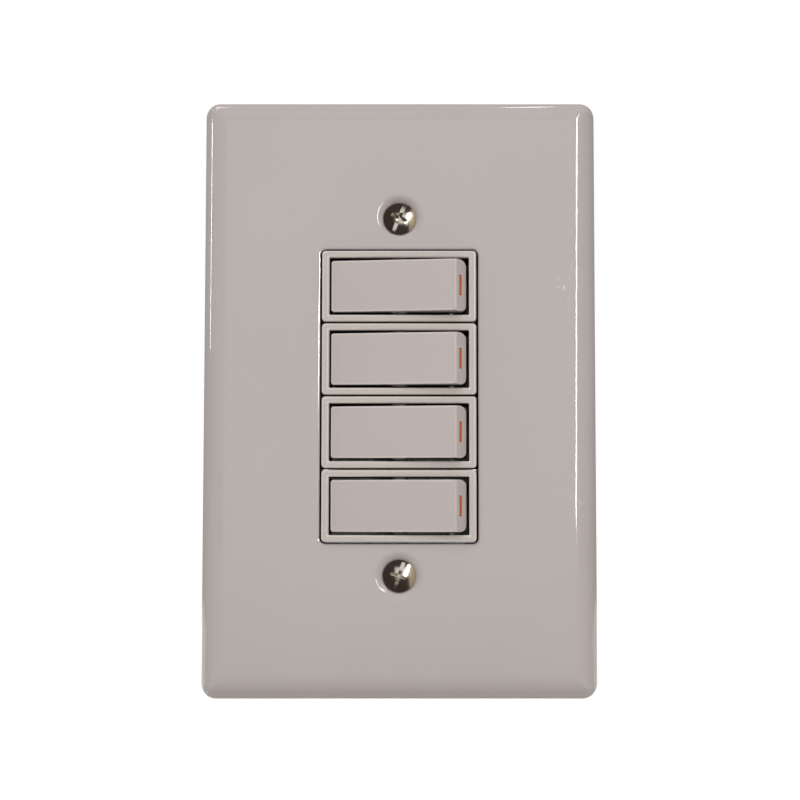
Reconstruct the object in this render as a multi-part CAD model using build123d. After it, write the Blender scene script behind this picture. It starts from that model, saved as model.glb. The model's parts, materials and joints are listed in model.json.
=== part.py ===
from build123d import *
from math import cos, radians, sin, sqrt, tan
import os

# Four-gang rocker light switch, in millimetres and degrees. X is right, Z is up and Y runs into the wall.
# The wall's surface is y = 0, the wall plate's centre is x = z = 0, and the room is on the -Y side.
# The switches stand as pressed at their left ends, so their contacts are closed.

# Wall plate
PLATE_WIDTH = 79.0
PLATE_HEIGHT = 120.0
PLATE_DEPTH = 7.0  # wall to front face
PLATE_WALL = 2.2
PLATE_DRAFT = 6.0  # angle of the sides
PLATE_EDGE = 5.2  # radius by which the sides roll over into the face
PLATE_EDGE_TURNS = (0, 0.03, 0.15, 0.3, 0.45, 0.6, 0.75, 0.88, 0.97, 1)  # outlines along that roll
PLATE_CORNER = 3.3  # at the rim
PLATE_FLAT_CORNER = 0.3  # corner radius left on the flat faces
PLATE_INNER_EDGE = 2.0  # rounding inside the hollow back
WINDOW_GAP = 0.4  # between the window and the frames in it
WINDOW_CORNER = 1.2
WINDOW_EDGE = 0.6  # rounding of the window's front edge
LIP_WALL = 1.2  # rib behind the window's edge
LIP_GAP = 0.8  # between that rib and the frames' ledges

# Oval-head screws that hold the plate to the strap, and the dishes that they sit in
SCREW_MARGIN = 6.7  # from the stack of frames to a screw's axis
SCREW_HEAD_R = 3.25
SCREW_RIM = 0.2  # straight edge of the head
SCREW_DOME = 0.9
SCREW_R = 1.7
SCREW_POINT = 0.6  # chamfer of the tip
SCREW_REACH = 4.0  # behind the wall's surface
SLOT_WIDTH = 0.75
SLOT_DEPTH = 0.8
CROSS_SPAN = 3.5
CROSS_DEPTH = 1.3
UPPER_SLOT_LEAN = 24.8  # from upright, top to the right
LOWER_SLOT_LEAN = 19.0
DISH_R = 4.11  # where the dish's cone would meet the plate's face
DISH_EDGE = 2.0  # rounding there
DISH_BOSS_R = 3.9
SCREW_HOLE_PLAY = 0.3
SEAT_PLAY = 0.05  # between a head's cone and its dish
THREAD_PLAY = 0.05

# Steel mounting strap, with slots for the wall box's own screws
STRAP_WIDTH = 41.0
STRAP_MARGIN = 7.5  # from the plate's ends to the strap's
STRAP_THICK = 1.2
STRAP_CORNER = 4.0
STRAP_PLAY = 0.2  # around the frames
STRAP_WINDOW_CORNER = 0.6
COLLAR_R = 2.7  # drawn collar behind a tapped hole
COLLAR_LENGTH = 1.4
BOX_SPACING = 83.3
BOX_SLOT_R = 2.0
BOX_SLOT_LENGTH = 6.0
BOX_SCREW_HEAD = 2.0  # height that a box screw's head needs
BOX_SCREW_GAP = 0.3

# Module frames, one above the other
GANGS = 4
MODULE_PITCH = 14.4
FRAME_SEAM = 0.35  # between two frames
FRAME_WIDTH = 30.3
FRAME_SIDE = 1.45  # upright bars
FRAME_BAR = 1.35  # level bars
FRAME_PROUD = 0.8  # in front of the plate
FRAME_TAIL = 1.0  # behind the wall's surface
FRAME_CORNER = 0.7
FRAME_EDGE = 0.45
LEDGE_REACH = 1.4  # ledges that sit on the strap's front
LEDGE_THICK = 1.2
HOOK_REACH = 0.6  # hooks that snap behind the strap
HOOK_FLAT = 0.25
HOOK_LENGTH = 5.0
HOOK_PLAY = 0.1
GUIDE_X = 10.3  # small guide rib on the lower bar
GUIDE_WIDTH = 0.6
GUIDE_HEIGHT = 0.35
GUIDE_SET = 0.9  # behind the frame's front
GUIDE_LENGTH = 4.0

# Rockers, which turn on two pins in the frame's level bars
ROCKER_END_GAP = 0.5
ROCKER_SIDE_GAP = 0.6
ROCKER_PROUD = 0.6  # level face in front of the frame
ROCKER_WALL = 1.2
ROCKER_TILT = 5.0  # each way from level
ROCKER_CORNER = 0.5
ROCKER_NOSE_CORNER = 1.2  # at the bevelled end
ROCKER_EDGE = 0.25
BEVEL_RUN = 1.76
BEVEL_DROP = 2.5
MARK_LENGTH = 4.1  # groove for the paint mark on the bevel
MARK_WIDTH = 0.9
MARK_DEPTH = 0.25
MARK_PLACE = 0.43  # share of the bevel's slope
PIVOT_DEPTH = 2.0  # behind the frame's front
PIN_R = 1.3
PIN_PLAY = 0.05
PIN_BITE = 0.8  # length in its socket
PIN_END_PLAY = 0.1
PIN_LEAD = 0.4  # depth of the lead-in groove behind a socket
PIN_BOSS_R = 1.6
PIN_BOSS_PLAY = 0.1
SKIRT_GAP = 0.4  # between the swinging skirt and the base's tongue
STEM_R = 2.2
STEM_REACH = 8.2  # from the pivot to the stem's end
STEM_CAP = 0.6  # between the stem's bore and the hollow's roof

# Spring-loaded plunger in the rocker's stem
PLUNGER_R = 1.2
PLUNGER_PLAY = 0.1
PLUNGER_TIP_R = 1.0
PLUNGER_GRIP = 3.0  # length inside the stem
PLUNGER_GAP = 0.1  # tip to bridge when level
SPIGOT_R = 0.55
SPIGOT_LENGTH = 1.0
SPRING_R = 0.85  # to the wire's middle
SPRING_WIRE = 0.35
SPRING_TURNS = 3.5
SPRING_PLAY = 0.1

# Module bases
BASE_SIDE_STEP = 0.45  # inside the frame's outline, at its ends
BASE_STEP = 0.2  # and above and below
BASE_DEPTH = 16.0  # behind the frame
BASE_CORNER = 0.8
BASE_WALL = 1.2
BASE_COLLAR = 3.5  # full-width front of the base
CHEST_WIDTH = 23.2  # between the terminal recesses
BARRIER_WALL = 1.25  # walls beside the terminal recesses
CHAMBER_DEPTH = 9.3  # from the frame to the chamber's floor
TONGUE_DEPTH = 2.3  # rim that enters the frame
TONGUE_PLAY = 0.1
SNAP_X = 8.0  # catches on the tongue
SNAP_WIDTH = 3.6
SNAP_HEIGHT = 0.45
SNAP_LENGTH = 0.8
SNAP_SET = 0.7  # from the frame's back
SNAP_PLAY = 0.2
CORE_WIDTH = 12.8  # moulding pocket in the back
CORE_FLOOR = 2.0
CORE_RIB = 1.2

# Contact bridge, a see-saw on a bead, and its rivet contacts
BRIDGE_LEFT = 8.5
BRIDGE_RIGHT = 9.0
BRIDGE_WIDTH = 7.2
BRIDGE_THICK = 0.8
BRIDGE_RISE = 0.2  # strip's underside in front of the bead's axis
BRIDGE_TILT = 8.0  # each way from level
BEAD_R = 0.9
BEAD_PLAY = 0.05
CRADLE_HEIGHT = 3.3  # bead's axis above the chamber's floor
CONTACT_X = 7.5
CONTACT_R = 1.25
CONTACT_HEIGHT = 0.6
CONTACT_FLAT_R = 0.5  # top of the fixed contact
CONTACT_CROWN = 0.35  # height of its slope
CONTACT_GAP = 0.1
RIVET_R = 0.78
RIVET_PLAY = 0.02
RIVET_HEAD_R = 1.1
RIVET_HEAD = 0.3

# Brass terminals and their binding screws
TERMINAL_THICK = 1.0
TERMINAL_WIDTH = 8.4
TERMINAL_CORNER = 1.0
TERMINAL_FRONT_GAP = 1.5  # from the base's collar
TERMINAL_BACK_GAP = 1.6  # from the base's back
LEG_WIDTH = 6.0
LEG_PLAY = 0.2
LEG_OVERHANG = 0.6  # past the fixed contact
HAT_HALF = 1.9  # half width of the cradle's fold
HAT_SHOULDER = 0.8
HAT_DIP = 0.6
HAT_GAP = 0.2
STOP_X = 7.6  # dimple that the open bridge rests on
STOP_R = 0.8
STOP_GAP = 0.1
BINDING_R = 1.7
BINDING_HEAD_R = 2.6
BINDING_HEAD = 2.0
BINDING_EDGE = 0.5
BINDING_LENGTH = 4.2
BINDING_BACK = 4.4  # from the base's back to the screw's axis
BINDING_END_PLAY = 0.5

# Places worked out from the sizes above
STRAP_LENGTH = PLATE_HEIGHT - 2 * STRAP_MARGIN
FRAME_HEIGHT = MODULE_PITCH - FRAME_SEAM
STACK_HEIGHT = GANGS * MODULE_PITCH - FRAME_SEAM
WINDOW_WIDTH = FRAME_WIDTH + 2 * WINDOW_GAP
WINDOW_HEIGHT = STACK_HEIGHT + 2 * WINDOW_GAP
SCREW_Z = STACK_HEIGHT / 2 + SCREW_MARGIN
SCREW_HOLE_R = SCREW_R + SCREW_HOLE_PLAY
HOLLOW_Y = PLATE_WALL - PLATE_DEPTH
LEDGE_Y = -STRAP_THICK - LEDGE_THICK
FRAME_FRONT = -PLATE_DEPTH - FRAME_PROUD
OPENING_WIDTH = FRAME_WIDTH - 2 * FRAME_SIDE
OPENING_HEIGHT = FRAME_HEIGHT - 2 * FRAME_BAR
PIVOT_Y = FRAME_FRONT + PIVOT_DEPTH
ROCKER_LENGTH = OPENING_WIDTH - 2 * ROCKER_END_GAP
ROCKER_WIDTH = OPENING_HEIGHT - 2 * ROCKER_SIDE_GAP
ROCKER_FACE = FRAME_FRONT - ROCKER_PROUD
TONGUE_Y = FRAME_TAIL - TONGUE_DEPTH
SWING = ROCKER_LENGTH / 2 * sin(radians(ROCKER_TILT))
SKIRT_Y = PIVOT_Y + (TONGUE_Y - SKIRT_GAP - SWING - PIVOT_Y) / cos(radians(ROCKER_TILT))
STEM_Y = PIVOT_Y + STEM_REACH
STEM_BORE_R = PLUNGER_R + PLUNGER_PLAY
STEM_ROOF = ROCKER_FACE + ROCKER_WALL + STEM_CAP
BASE_WIDTH = FRAME_WIDTH - 2 * BASE_SIDE_STEP
BASE_HEIGHT = FRAME_HEIGHT - 2 * BASE_STEP
BASE_BACK = FRAME_TAIL + BASE_DEPTH
RECESS_Y = FRAME_TAIL + BASE_COLLAR
FLOOR_Y = FRAME_TAIL + CHAMBER_DEPTH
CHAMBER_HEIGHT = OPENING_HEIGHT - 2 * TONGUE_PLAY - 2 * BASE_WALL
HINGE_Y = FLOOR_Y - CRADLE_HEIGHT
STRIP_BACK = HINGE_Y - BRIDGE_RISE
STRIP_FRONT = STRIP_BACK - BRIDGE_THICK
PLUNGER_END = STRIP_FRONT - PLUNGER_GAP
PLUNGER_TOP = STEM_Y - PLUNGER_GRIP
BINDING_Y = BASE_BACK - BINDING_BACK
CONTACT_ARM = CONTACT_HEIGHT - BRIDGE_RISE
CLOSED_X = CONTACT_X * cos(radians(BRIDGE_TILT)) - CONTACT_ARM * sin(radians(BRIDGE_TILT))
CLOSED_Y = HINGE_Y + CONTACT_X * sin(radians(BRIDGE_TILT)) + CONTACT_ARM * cos(radians(BRIDGE_TILT))
LEG_Y = FLOOR_Y - TERMINAL_THICK


# Plain forms

def slab(width, height, front, back, corner=0.0, taper=0.0):
    """Upright block centred on the Y axis, between two depths, tapered towards its front."""
    outline = RectangleRounded(width, height, corner) if corner else Rectangle(width, height)
    return extrude(Plane.XZ.offset(-back) * outline, amount=back - front, taper=taper)


def block(x, y, z):
    """Box between pairs of limits along X, Y and Z."""
    limits = (x, y, z)
    middle = [(low + high) / 2 for low, high in limits]
    return Pos(*middle) * Box(*[high - low for low, high in limits])


def rod_x(radius, low, high, y, z=0.0):
    """Cylinder along X."""
    return extrude(Plane.YZ.offset(low) * Pos(y, z) * Circle(radius), amount=high - low)


def rod_y(radius, front, back, x=0.0, z=0.0):
    """Cylinder along Y."""
    return extrude(Plane.XZ.offset(-back) * Pos(x, z) * Circle(radius), amount=back - front)


def rod_z(radius, low, high, y):
    """Cylinder along Z at x = 0."""
    return extrude(Plane.XY.offset(low) * Pos(0, y) * Circle(radius), amount=high - low)


def turned(*lines):
    """Solid of revolution about Y from a closed line of (radius, y) points."""
    return revolve(make_face(lines), axis=Axis.Y)


def both_sides(shape, plane):
    """A shape and its mirror image."""
    return shape + mirror(shape, about=plane)


def swung(shape, angle, y):
    """A shape turned about the upright axis at x = 0 and this depth."""
    return shape.rotate(Axis((0, y, 0), (0, 0, 1)), angle)


# Wall plate, strap and plate screws

def rolled_pan(width, height, depth, edge):
    """Block on the wall whose drafted sides roll over into the front face, lofted through level outlines."""
    draft = radians(PLATE_DRAFT)
    flat = depth * tan(draft) + edge * tan((radians(90) - draft) / 2)
    outlines = []
    for share in PLATE_EDGE_TURNS:
        turn = draft + (radians(90) - draft) * share
        inset = flat - edge * cos(turn)
        corner = max(PLATE_CORNER - inset, PLATE_FLAT_CORNER)
        outline = RectangleRounded(width - 2 * inset, height - 2 * inset, corner)
        outlines.append(Plane.XZ.offset(depth - edge + edge * sin(turn)) * outline)
    side = edge - depth - edge * sin(draft)
    return slab(width, height, side, 0, PLATE_CORNER, PLATE_DRAFT) + loft(outlines)


def rounded_pan(width, height, depth, edge):
    """Block on the wall with drafted sides and a rounded front edge."""
    draft = radians(PLATE_DRAFT)
    corner = PLATE_FLAT_CORNER + depth * tan(draft) + edge * tan((radians(90) - draft) / 2)
    pan = slab(width, height, -depth, 0, corner, PLATE_DRAFT)
    return fillet(pan.faces().sort_by(Axis.Y)[0].edges(), edge)


def screw_dish():
    """Cone and hole that a plate screw goes through."""
    cone_end = -PLATE_DEPTH + DISH_R - SCREW_HOLE_R
    return turned(Polyline(
        (0, -PLATE_DEPTH), (DISH_R, -PLATE_DEPTH), (SCREW_HOLE_R, cone_end), (SCREW_HOLE_R, 0), (0, 0),
        close=True))


def wall_plate():
    """Hollow cover plate with a window for the frames and two dished screw holes."""
    plate = rolled_pan(PLATE_WIDTH, PLATE_HEIGHT, PLATE_DEPTH, PLATE_EDGE)
    hollow_width = PLATE_WIDTH - 2 * PLATE_WALL
    hollow_height = PLATE_HEIGHT - 2 * PLATE_WALL
    plate -= rounded_pan(hollow_width, hollow_height, -HOLLOW_Y, PLATE_INNER_EDGE)
    lip_width = WINDOW_WIDTH + 2 * LIP_WALL
    lip_height = WINDOW_HEIGHT + 2 * LIP_WALL
    plate += slab(lip_width, lip_height, HOLLOW_Y, LEDGE_Y - LIP_GAP, WINDOW_CORNER + LIP_WALL)
    plate -= slab(WINDOW_WIDTH, WINDOW_HEIGHT, -PLATE_DEPTH, 0, WINDOW_CORNER)
    boss_end = -STRAP_THICK - BOX_SCREW_HEAD - BOX_SCREW_GAP
    for z in (SCREW_Z, -SCREW_Z):
        plate += rod_y(DISH_BOSS_R, HOLLOW_Y, boss_end, z=z)
        plate -= Pos(0, 0, z) * screw_dish()
    rims = plate.faces().sort_by(Axis.Y)[0].inner_wires().sort_by(SortBy.LENGTH)
    plate = fillet(rims[-1].edges(), WINDOW_EDGE)
    rims = plate.faces().sort_by(Axis.Y)[0].inner_wires().sort_by(SortBy.LENGTH)
    return fillet([edge for rim in rims[:-1] for edge in rim.edges()], DISH_EDGE)


def mounting_strap():
    """Flat steel strap with a window, two tapped collars and two slots."""
    strap = slab(STRAP_WIDTH, STRAP_LENGTH, -STRAP_THICK, 0, STRAP_CORNER)
    window_width = FRAME_WIDTH + 2 * STRAP_PLAY
    window_height = STACK_HEIGHT + 2 * STRAP_PLAY
    strap -= slab(window_width, window_height, -STRAP_THICK, 0, STRAP_WINDOW_CORNER)
    slot = SlotOverall(BOX_SLOT_LENGTH, 2 * BOX_SLOT_R, rotation=90)
    for side in (1, -1):
        strap += rod_y(COLLAR_R, 0, COLLAR_LENGTH, z=side * SCREW_Z)
        strap -= rod_y(SCREW_R + THREAD_PLAY, -STRAP_THICK, COLLAR_LENGTH, z=side * SCREW_Z)
        strap -= extrude(Plane.XZ * Pos(0, side * BOX_SPACING / 2) * slot, amount=STRAP_THICK)
    return strap


def plate_screw(lean):
    """Oval-head screw with a slot across a cross recess, turned from upright by lean."""
    seat = -PLATE_DEPTH + DISH_R - SCREW_HEAD_R - SEAT_PLAY * sqrt(2)
    rim = seat - SCREW_RIM
    top = rim - SCREW_DOME
    screw = turned(
        TangentArc((0, top), (SCREW_HEAD_R, rim), tangent=(1, 0)),
        Polyline(
            (SCREW_HEAD_R, rim), (SCREW_HEAD_R, seat), (SCREW_R, seat + SCREW_HEAD_R - SCREW_R),
            (SCREW_R, SCREW_REACH - SCREW_POINT), (SCREW_R - SCREW_POINT, SCREW_REACH), (0, SCREW_REACH),
            (0, top)))
    across = (-SLOT_WIDTH / 2, SLOT_WIDTH / 2)
    half = CROSS_SPAN / 2
    recess = block(across, (top, top + SLOT_DEPTH), (-SCREW_HEAD_R, SCREW_HEAD_R))
    recess += block(across, (top, top + CROSS_DEPTH), (-half, half))
    recess += block((-half, half), (top, top + CROSS_DEPTH), across)
    return screw - Rot(0, lean, 0) * recess


# Frame, rocker, plunger and spring of one module, centred on z = 0

def snap(play):
    """Catches on the upper side of the tongue, grown by play to make the frame's pockets for them."""
    low = CHAMBER_HEIGHT / 2 + BASE_WALL / 2
    foot = OPENING_HEIGHT / 2 - TONGUE_PLAY + play
    back = FRAME_TAIL - SNAP_SET + play
    front = back - SNAP_LENGTH - 2 * play
    side = make_face(Polyline(
        (front, low), (back, low), (back, foot + SNAP_HEIGHT), (front, foot), close=True))
    catch = Pos(SNAP_X, 0, 0) * extrude(Plane.YZ * side, amount=SNAP_WIDTH / 2 + play, both=True)
    return both_sides(catch, Plane.YZ)


def switch_frame():
    """Rectangular frame that snaps into the strap and carries the rocker's pins."""
    frame = slab(FRAME_WIDTH, FRAME_HEIGHT, FRAME_FRONT, FRAME_TAIL, FRAME_CORNER)
    frame -= slab(OPENING_WIDTH, OPENING_HEIGHT, FRAME_FRONT, FRAME_TAIL)
    frame = fillet(frame.faces().sort_by(Axis.Y)[0].edges(), FRAME_EDGE)
    edge = FRAME_WIDTH / 2
    root = edge - FRAME_SIDE / 2
    ledge_z = FRAME_HEIGHT / 2
    ledge = block((root, edge + LEDGE_REACH), (LEDGE_Y, -STRAP_THICK), (-ledge_z, ledge_z))
    hook = make_face(Polyline(
        (root, HOOK_PLAY), (edge + HOOK_REACH, HOOK_PLAY), (edge + HOOK_REACH, HOOK_PLAY + HOOK_FLAT),
        (edge, FRAME_TAIL), (root, FRAME_TAIL), close=True))
    frame += both_sides(ledge + extrude(hook, amount=HOOK_LENGTH / 2, both=True), Plane.YZ)
    wall = OPENING_HEIGHT / 2
    socket_r = PIN_R + PIN_PLAY
    socket = rod_z(socket_r, wall - FRAME_BAR / 2, wall + PIN_BITE + PIN_END_PLAY, PIVOT_Y)
    socket += block((-socket_r, socket_r), (PIVOT_Y, FRAME_TAIL), (wall - FRAME_BAR / 2, wall + PIN_LEAD))
    frame -= both_sides(socket + snap(SNAP_PLAY), Plane.XY)
    rib_x = (GUIDE_X - GUIDE_WIDTH / 2, GUIDE_X + GUIDE_WIDTH / 2)
    rib_y = (FRAME_FRONT + GUIDE_SET, FRAME_FRONT + GUIDE_SET + GUIDE_LENGTH)
    return frame + block(rib_x, rib_y, (-wall - FRAME_BAR / 2, -wall + GUIDE_HEIGHT))


def rocker():
    """Hollow rocker with a bevelled right end, two pins and a stem for the plunger."""
    half = ROCKER_LENGTH / 2
    side = ROCKER_WIDTH / 2
    outline = Rectangle(ROCKER_LENGTH, ROCKER_WIDTH)
    outline = fillet(outline.vertices().group_by(Axis.X)[0], ROCKER_CORNER)
    outline = fillet(outline.vertices().group_by(Axis.X)[-1], ROCKER_NOSE_CORNER)
    body = extrude(Plane.XZ.offset(-SKIRT_Y) * outline, amount=SKIRT_Y - ROCKER_FACE)
    top = half - BEVEL_RUN
    over = BEVEL_DROP / BEVEL_RUN
    bevel = make_face(Polyline(
        (top - BEVEL_RUN, ROCKER_FACE - BEVEL_DROP), (half + BEVEL_RUN, ROCKER_FACE + 2 * BEVEL_RUN * over),
        (half + BEVEL_RUN, ROCKER_FACE - BEVEL_DROP), close=True))
    body -= extrude(bevel, amount=ROCKER_WIDTH, both=True)
    body = fillet(body.faces().sort_by(Axis.Y)[0].edges(), ROCKER_EDGE)
    pocket = block((ROCKER_WALL - half, top - ROCKER_WALL / 2), (ROCKER_FACE + ROCKER_WALL, SKIRT_Y),
                   (ROCKER_WALL - side, side - ROCKER_WALL))
    body -= pocket
    body += rod_y(STEM_R, ROCKER_FACE + ROCKER_WALL / 2, STEM_Y)
    body -= rod_y(STEM_BORE_R, STEM_ROOF, STEM_Y)
    wall = OPENING_HEIGHT / 2
    pin = rod_z(PIN_BOSS_R, side - ROCKER_WALL / 2, wall - PIN_BOSS_PLAY, PIVOT_Y)
    pin += rod_z(PIN_R, side - ROCKER_WALL / 2, wall + PIN_BITE, PIVOT_Y)
    body += both_sides(pin, Plane.XY)
    slope = sqrt(BEVEL_RUN ** 2 + BEVEL_DROP ** 2)
    face = Plane((top + MARK_PLACE * BEVEL_RUN, ROCKER_FACE + MARK_PLACE * BEVEL_DROP, 0),
                 x_dir=(0, 0, 1), z_dir=(BEVEL_DROP / slope, -BEVEL_RUN / slope, 0))
    return body - extrude(face * Rectangle(MARK_LENGTH, MARK_WIDTH), amount=MARK_DEPTH, both=True)


def plunger():
    """Round-nosed pin with a spigot for the spring."""
    head = PLUNGER_TOP - SPIGOT_LENGTH
    nose = PLUNGER_END - PLUNGER_TIP_R
    neck = nose - 2 * (PLUNGER_R - PLUNGER_TIP_R)
    return turned(
        Polyline((0, head), (SPIGOT_R, head), (SPIGOT_R, PLUNGER_TOP), (PLUNGER_R, PLUNGER_TOP),
                 (PLUNGER_R, neck), (PLUNGER_TIP_R, nose)),
        TangentArc((PLUNGER_TIP_R, nose), (0, PLUNGER_END), tangent=(0, 1)),
        Line((0, PLUNGER_END), (0, head)))


def spring():
    """Coil between the stem's roof and the plunger's shoulder."""
    first = STEM_ROOF + SPRING_PLAY + SPRING_WIRE / 2
    last = PLUNGER_TOP - SPRING_PLAY - SPRING_WIRE / 2
    rise = last - first
    coil = Helix(rise / SPRING_TURNS, rise, SPRING_R, center=(0, first, 0), direction=(0, 1, 0))
    start = Plane(coil @ 0, z_dir=coil % 0)
    return sweep(start * Rectangle(SPRING_WIRE, SPRING_WIRE), path=coil, is_frenet=True)


# Base, contacts and terminals of one module, centred on z = 0

def terminal_hole(radius, play):
    """Hole along X for a terminal's binding screw, from inside the chest outwards."""
    inner = CHEST_WIDTH / 2 + TERMINAL_THICK - BINDING_LENGTH - play
    return rod_x(radius + play, inner, CHEST_WIDTH / 2 + TERMINAL_THICK, BINDING_Y)


def leg_slot(front):
    """Slot in the right wall that a terminal's leg is pushed in through."""
    outer = CHEST_WIDTH / 2
    half = LEG_WIDTH / 2 + LEG_PLAY
    return block((outer - 2 * BASE_WALL, outer), (front - LEG_PLAY, FLOOR_Y), (-half, half))


def switch_base():
    """Moulded base with a chamber for the contacts and a recess at each end for a terminal."""
    base = slab(BASE_WIDTH, BASE_HEIGHT, FRAME_TAIL, BASE_BACK, BASE_CORNER)
    tongue_width = OPENING_WIDTH - 2 * TONGUE_PLAY
    tongue_height = OPENING_HEIGHT - 2 * TONGUE_PLAY
    base += slab(tongue_width, tongue_height, TONGUE_Y, FRAME_TAIL)
    base += both_sides(snap(0), Plane.XY)
    base -= slab(tongue_width - 2 * BASE_WALL, CHAMBER_HEIGHT, TONGUE_Y, FRAME_TAIL + BASE_WALL)
    base -= slab(CHEST_WIDTH - 2 * BASE_WALL, CHAMBER_HEIGHT, FRAME_TAIL, FLOOR_Y)
    channel = BASE_HEIGHT / 2 - BARRIER_WALL
    recess = block((CHEST_WIDTH / 2, BASE_WIDTH), (RECESS_Y, BASE_BACK), (-channel, channel))
    recess += terminal_hole(BINDING_R, BINDING_END_PLAY)
    core = (CORE_RIB / 2, CORE_WIDTH / 2)
    recess += block(core, (FLOOR_Y + CORE_FLOOR, BASE_BACK), (-CHAMBER_HEIGHT / 2, CHAMBER_HEIGHT / 2))
    base -= both_sides(recess, Plane.YZ)
    base -= leg_slot(CLOSED_Y + CONTACT_GAP)
    return base - mirror(leg_slot(hat_top()), about=Plane.YZ)


def hat_top():
    """Front of the cradle's shoulders, just behind the strip at full tilt."""
    tilt = radians(BRIDGE_TILT)
    corner = HAT_HALF + TERMINAL_THICK / 2
    return HINGE_Y + corner * sin(tilt) - BRIDGE_RISE * cos(tilt) + HAT_GAP


def side_plate():
    """Right-hand terminal's plate, which lies on the chest's wall under the binding screw."""
    front = RECESS_Y + TERMINAL_FRONT_GAP
    back = BASE_BACK - TERMINAL_BACK_GAP
    outline = RectangleRounded(back - front, TERMINAL_WIDTH, TERMINAL_CORNER)
    seat = Plane.YZ.offset(CHEST_WIDTH / 2) * Pos((front + back) / 2, 0)
    plate = extrude(seat * outline, amount=TERMINAL_THICK)
    return plate - terminal_hole(BINDING_R, THREAD_PLAY)


def common_terminal():
    """Left terminal, folded up under the bridge into a cradle for its bead."""
    middle = LEG_Y + TERMINAL_THICK / 2
    shoulder = hat_top() + TERMINAL_THICK / 2
    strip = trace(Polyline(
        (-(CHEST_WIDTH + TERMINAL_THICK) / 2, middle), (-HAT_HALF, middle), (-HAT_HALF, shoulder),
        (-HAT_SHOULDER, shoulder), (0, shoulder + HAT_DIP), (HAT_SHOULDER, shoulder), (HAT_HALF, shoulder),
        (HAT_HALF, FLOOR_Y)), line_width=TERMINAL_THICK)
    terminal = mirror(side_plate(), about=Plane.YZ) + extrude(strip, amount=LEG_WIDTH / 2, both=True)
    terminal -= rod_z(BEAD_R + BEAD_PLAY, -LEG_WIDTH, LEG_WIDTH, HINGE_Y)
    tilt = radians(BRIDGE_TILT)
    stop = HINGE_Y + (STOP_X + STOP_R) * sin(tilt) - BRIDGE_RISE * cos(tilt) + STOP_GAP
    return terminal + rod_y(STOP_R, stop, middle, x=-STOP_X)


def line_terminal():
    """Right terminal, whose leg carries the fixed contact."""
    inner = CLOSED_X - CONTACT_R - LEG_OVERHANG
    outer = (CHEST_WIDTH + TERMINAL_THICK) / 2
    leg = block((inner, outer), (LEG_Y, FLOOR_Y), (-LEG_WIDTH / 2, LEG_WIDTH / 2))
    return side_plate() + leg - rod_y(RIVET_R + RIVET_PLAY, LEG_Y, FLOOR_Y, x=CLOSED_X)


def fixed_contact():
    """Crowned rivet in the right terminal's leg."""
    top = CLOSED_Y + CONTACT_GAP
    return Pos(CLOSED_X, 0, 0) * turned(Polyline(
        (0, top), (CONTACT_FLAT_R, top), (CONTACT_R, top + CONTACT_CROWN), (CONTACT_R, LEG_Y),
        (RIVET_R, LEG_Y), (RIVET_R, FLOOR_Y), (0, FLOOR_Y), close=True))


def contact_bridge():
    """Level see-saw strip with the bead that it tilts on."""
    half = BRIDGE_WIDTH / 2
    strip = block((-BRIDGE_LEFT, BRIDGE_RIGHT), (STRIP_FRONT, STRIP_BACK), (-half, half))
    strip = fillet(strip.edges().filter_by(Axis.Y), BRIDGE_THICK)
    strip += rod_z(BEAD_R, -LEG_WIDTH / 2, LEG_WIDTH / 2, HINGE_Y)
    return strip - rod_y(RIVET_R + RIVET_PLAY, STRIP_FRONT, STRIP_BACK, x=CONTACT_X)


def moving_contact():
    """Rivet in the level bridge's right end."""
    head = STRIP_FRONT - RIVET_HEAD
    face = STRIP_BACK + CONTACT_HEIGHT
    return Pos(CONTACT_X, 0, 0) * turned(Polyline(
        (0, head), (RIVET_HEAD_R, head), (RIVET_HEAD_R, STRIP_FRONT), (RIVET_R, STRIP_FRONT),
        (RIVET_R, STRIP_BACK), (CONTACT_R, STRIP_BACK), (CONTACT_R, face), (0, face), close=True))


def binding_screw():
    """Slotted screw in the right terminal's plate, along X."""
    seat = CHEST_WIDTH / 2 + TERMINAL_THICK
    top = seat + BINDING_HEAD
    head = rod_x(BINDING_HEAD_R, seat, top, BINDING_Y)
    head = chamfer(head.faces().sort_by(Axis.X)[-1].edges(), BINDING_EDGE)
    head -= block((top - SLOT_DEPTH, top), (BINDING_Y - BINDING_HEAD_R, BINDING_Y + BINDING_HEAD_R),
                  (-SLOT_WIDTH / 2, SLOT_WIDTH / 2))
    return head + rod_x(BINDING_R, seat - BINDING_LENGTH, seat, BINDING_Y)


# All pieces in place

os.makedirs("parts", exist_ok=True)
top_gang = (STACK_HEIGHT - FRAME_HEIGHT) / 2
gang_places = [Pos(0, 0, top_gang - gang * MODULE_PITCH) for gang in range(GANGS)]

export_step(wall_plate(), "parts/wall_plate.step")
export_step(mounting_strap(), "parts/mounting_strap.step")
upper = Pos(0, 0, SCREW_Z) * plate_screw(UPPER_SLOT_LEAN)
lower = Pos(0, 0, -SCREW_Z) * plate_screw(LOWER_SLOT_LEAN)
export_step(Compound(children=[upper, lower]), "parts/plate_screws.step")

module = {
    "switch_frame": switch_frame(),
    "switch_base": switch_base(),
    "rocker": swung(rocker(), -ROCKER_TILT, PIVOT_Y),
    "plunger": swung(plunger(), -ROCKER_TILT, PIVOT_Y),
    "spring": swung(spring(), -ROCKER_TILT, PIVOT_Y),
    "contact_bridge": swung(contact_bridge(), BRIDGE_TILT, HINGE_Y),
    "moving_contact": swung(moving_contact(), BRIDGE_TILT, HINGE_Y),
    "common_terminal": common_terminal(),
    "line_terminal": line_terminal(),
}
for number, place in enumerate(gang_places, start=1):
    for name, solid in module.items():
        export_step(place * solid, f"parts/{name}_{number}.step")

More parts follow.
